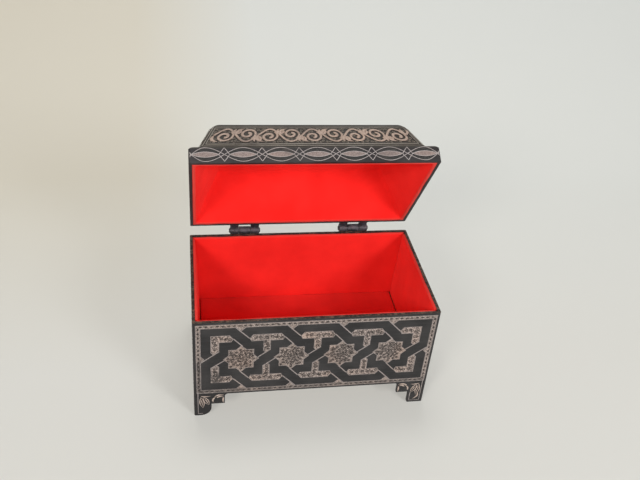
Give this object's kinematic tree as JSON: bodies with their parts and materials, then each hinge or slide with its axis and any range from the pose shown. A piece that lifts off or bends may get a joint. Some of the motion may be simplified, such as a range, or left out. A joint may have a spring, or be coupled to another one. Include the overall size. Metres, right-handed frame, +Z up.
{
  "type": "inlaid wooden box",
  "caption": "Footed wooden casket with star strapwork inlay, a coved hipped lid on two butt hinges, and a red felt lining.",
  "frame": {"origin": "middle of the footprint, on the table", "axes": "+X to the right of someone facing the box, +Y to the back with the hinges, +Z up"},
  "size_m": [0.18, 0.1367, 0.1955],
  "materials": {
    "dark_wood": "stained near black, satin, rubbed along the edges",
    "inlay_metal": "tarnished pinkish grey, finely engraved",
    "red_felt": "bright red felt on card, fuzzy at the edges",
    "blackened_iron": "blackened, worn at the knuckles",
    "plain_wood": "bare, planed"
  },
  "bodies": {
    "case": {"back_bars": "inlay_metal", "back_border": "inlay_metal", "back_left_foot_block": "plain_wood", "back_lining": "red_felt", "back_panel": "dark_wood", "back_right_foot_block": "plain_wood", "back_stars": "inlay_metal", "back_strap_lines": "inlay_metal", "case_hinge_nails": "blackened_iron", "floor_board": "plain_wood", "floor_cleats": "plain_wood", "floor_lining": "red_felt", "front_bars": "inlay_metal", "front_border": "inlay_metal", "front_left_foot_block": "plain_wood", "front_lining": "red_felt", "front_panel": "dark_wood", "front_right_foot_block": "plain_wood", "front_stars": "inlay_metal", "front_strap_lines": "inlay_metal", "left_bars": "inlay_metal", "left_border": "inlay_metal", "left_hinge_case_leaf": "blackened_iron", "left_hinge_pin": "blackened_iron", "left_lining": "red_felt", "left_panel": "dark_wood", "left_stars": "inlay_metal", "left_strap_lines": "inlay_metal", "right_bars": "inlay_metal", "right_border": "inlay_metal", "right_hinge_case_leaf": "blackened_iron", "right_hinge_pin": "blackened_iron", "right_lining": "red_felt", "right_panel": "dark_wood", "right_stars": "inlay_metal", "right_strap_lines": "inlay_metal"},
    "lid": {"left_hinge_lid_leaf": "blackened_iron", "lid_back_band": "dark_wood", "lid_back_cove": "dark_wood", "lid_back_lenses": "inlay_metal", "lid_back_lining": "red_felt", "lid_front_band": "dark_wood", "lid_front_cove": "dark_wood", "lid_front_lenses": "inlay_metal", "lid_front_lining": "red_felt", "lid_hinge_nails": "blackened_iron", "lid_left_band": "dark_wood", "lid_left_cove": "dark_wood", "lid_left_lenses": "inlay_metal", "lid_left_lining": "red_felt", "lid_right_band": "dark_wood", "lid_right_cove": "dark_wood", "lid_right_lenses": "inlay_metal", "lid_right_lining": "red_felt", "lid_top_lining": "red_felt", "lid_top_panel": "dark_wood", "right_hinge_lid_leaf": "blackened_iron"}
  },
  "joints": [
    {"name": "lid_hinge", "type": "hinge", "parent": "case", "child": "lid", "pos_m": [0, 0.0602, 0.0921], "axis": [-1, 0, 0], "range_deg": [-58, 42]}
  ]
}
